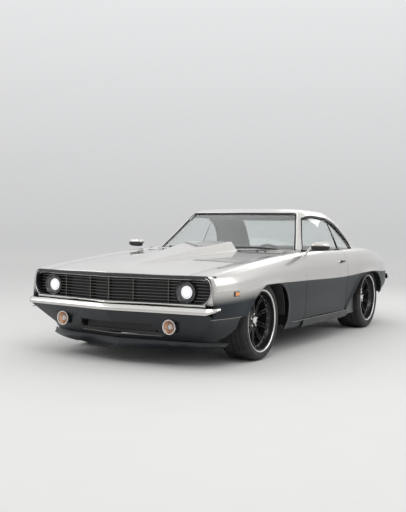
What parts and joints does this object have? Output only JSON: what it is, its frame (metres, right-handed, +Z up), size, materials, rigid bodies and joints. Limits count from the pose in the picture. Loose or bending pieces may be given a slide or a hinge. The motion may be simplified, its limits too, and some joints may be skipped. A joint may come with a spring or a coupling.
{
  "type": "muscle car",
  "caption": "Lowered muscle coupe with opening doors, hood and boot lid, steered front wheels, rolling wheels and a furnished cabin.",
  "frame": {"origin": "on the ground under the middle of the car's bounding box", "axes": "+Y to the tail, +X to the driver's side, +Z up"},
  "size_m": [2.208, 4.724, 1.272],
  "materials": {
    "body_silver": "glossy metallic silver, dark graphite below the crease",
    "lower_black": "satin black",
    "black_trim": "gloss black",
    "window_glass": "clear, lightly tinted",
    "lamp_clear": "clear lens over a bright bowl",
    "lamp_red": "red lens",
    "wheel_black": "gloss black with a thin polished lip",
    "tyre_rubber": "matte",
    "chassis_black": "satin black",
    "bare_steel": "dull",
    "engine_iron": "dull",
    "radiator_alloy": "satin",
    "seat_cloth": "matte black",
    "cabin_plastic": "matte black"
  },
  "bodies": {
    "body": {"chin_spoiler": "lower_black", "control_arms": "chassis_black", "cowl_panel": "lower_black", "dashboard": "cabin_plastic", "deck_panel": "body_silver", "engine": "engine_iron", "exhaust": "bare_steel", "front_bumper": "body_silver", "front_fender_left": "body_silver", "front_fender_right": "body_silver", "front_lamps": "lamp_clear", "front_seats": "seat_cloth", "front_subframe": "chassis_black", "front_valance": "lower_black", "fuel_tank": "chassis_black", "grille": "black_trim", "leaf_springs": "chassis_black", "nose_panel": "lower_black", "quarter_panel_left": "body_silver", "quarter_panel_right": "body_silver", "quarter_windows": "window_glass", "radiator": "radiator_alloy", "rear_axle": "chassis_black", "rear_bumper": "body_silver", "rear_seat": "seat_cloth", "rear_valance": "lower_black", "rear_window": "window_glass", "roof": "body_silver", "sills": "lower_black", "tail_lamps": "lamp_red", "tail_panel": "black_trim", "underbody": "chassis_black", "wheel_houses": "chassis_black", "windscreen": "window_glass"},
    "hood": {"hood": "body_silver"},
    "boot_lid": {"boot_lid": "body_silver"},
    "left_door": {"door_left": "body_silver", "door_glass_left": "window_glass", "mirror_left": "body_silver"},
    "right_door": {"door_right": "body_silver", "door_glass_right": "window_glass", "mirror_right": "body_silver"},
    "left_knuckle": {"knuckle_left": "bare_steel"},
    "right_knuckle": {"knuckle_right": "bare_steel"},
    "front_left_wheel": {"rim_front_left": "wheel_black", "tyre_front_left": "tyre_rubber"},
    "front_right_wheel": {"rim_front_right": "wheel_black", "tyre_front_right": "tyre_rubber"},
    "rear_left_wheel": {"rim_rear_left": "wheel_black", "tyre_rear_left": "tyre_rubber"},
    "rear_right_wheel": {"rim_rear_right": "wheel_black", "tyre_rear_right": "tyre_rubber"},
    "steering": {"steering_wheel": "cabin_plastic"}
  },
  "joints": [
    {"name": "hood_hinge", "type": "hinge", "parent": "body", "child": "hood", "pos_m": [0, -0.715, 0.824], "axis": [-1, 0, 0], "range_deg": [0, 45]},
    {"name": "boot_lid_hinge", "type": "hinge", "parent": "body", "child": "boot_lid", "pos_m": [0, 1.455, 0.88832], "axis": [1, 0, 0], "range_deg": [0, 60]},
    {"name": "left_door_hinge", "type": "hinge", "parent": "body", "child": "left_door", "pos_m": [0.905, -0.69, 0.5755], "axis": [0, 0, -1], "range_deg": [0, 62]},
    {"name": "right_door_hinge", "type": "hinge", "parent": "body", "child": "right_door", "pos_m": [-0.905, -0.69, 0.5755], "axis": [0, 0, 1], "range_deg": [0, 62]},
    {"name": "left_steer", "type": "hinge", "parent": "body", "child": "left_knuckle", "pos_m": [0.69, -1.432, 0.32], "axis": [0, 0, 1], "range_deg": [-28, 28]},
    {"name": "right_steer", "type": "hinge", "parent": "body", "child": "right_knuckle", "pos_m": [-0.69, -1.432, 0.32], "axis": [0, 0, 1], "range_deg": [-28, 28]},
    {"name": "steering_turn", "type": "hinge", "parent": "body", "child": "steering", "pos_m": [0.37, -0.195, 0.745], "axis": [0, 0.9397, 0.342], "range_deg": [-393, 393]},
    {"name": "front_left_spin", "type": "hinge", "parent": "left_knuckle", "child": "front_left_wheel", "pos_m": [0.7695, -1.432, 0.32], "axis": [1, 0, 0], "continuous": true},
    {"name": "front_right_spin", "type": "hinge", "parent": "right_knuckle", "child": "front_right_wheel", "pos_m": [-0.7695, -1.432, 0.32], "axis": [1, 0, 0], "continuous": true},
    {"name": "rear_left_spin", "type": "hinge", "parent": "body", "child": "rear_left_wheel", "pos_m": [0.7375, 1.311, 0.335], "axis": [1, 0, 0], "continuous": true},
    {"name": "rear_right_spin", "type": "hinge", "parent": "body", "child": "rear_right_wheel", "pos_m": [-0.7375, 1.311, 0.335], "axis": [1, 0, 0], "continuous": true}
  ],
  "couplings": [
    {"joint": "right_steer", "follows": "left_steer", "ratio": 1},
    {"joint": "steering_turn", "follows": "left_steer", "ratio": 14}
  ]
}
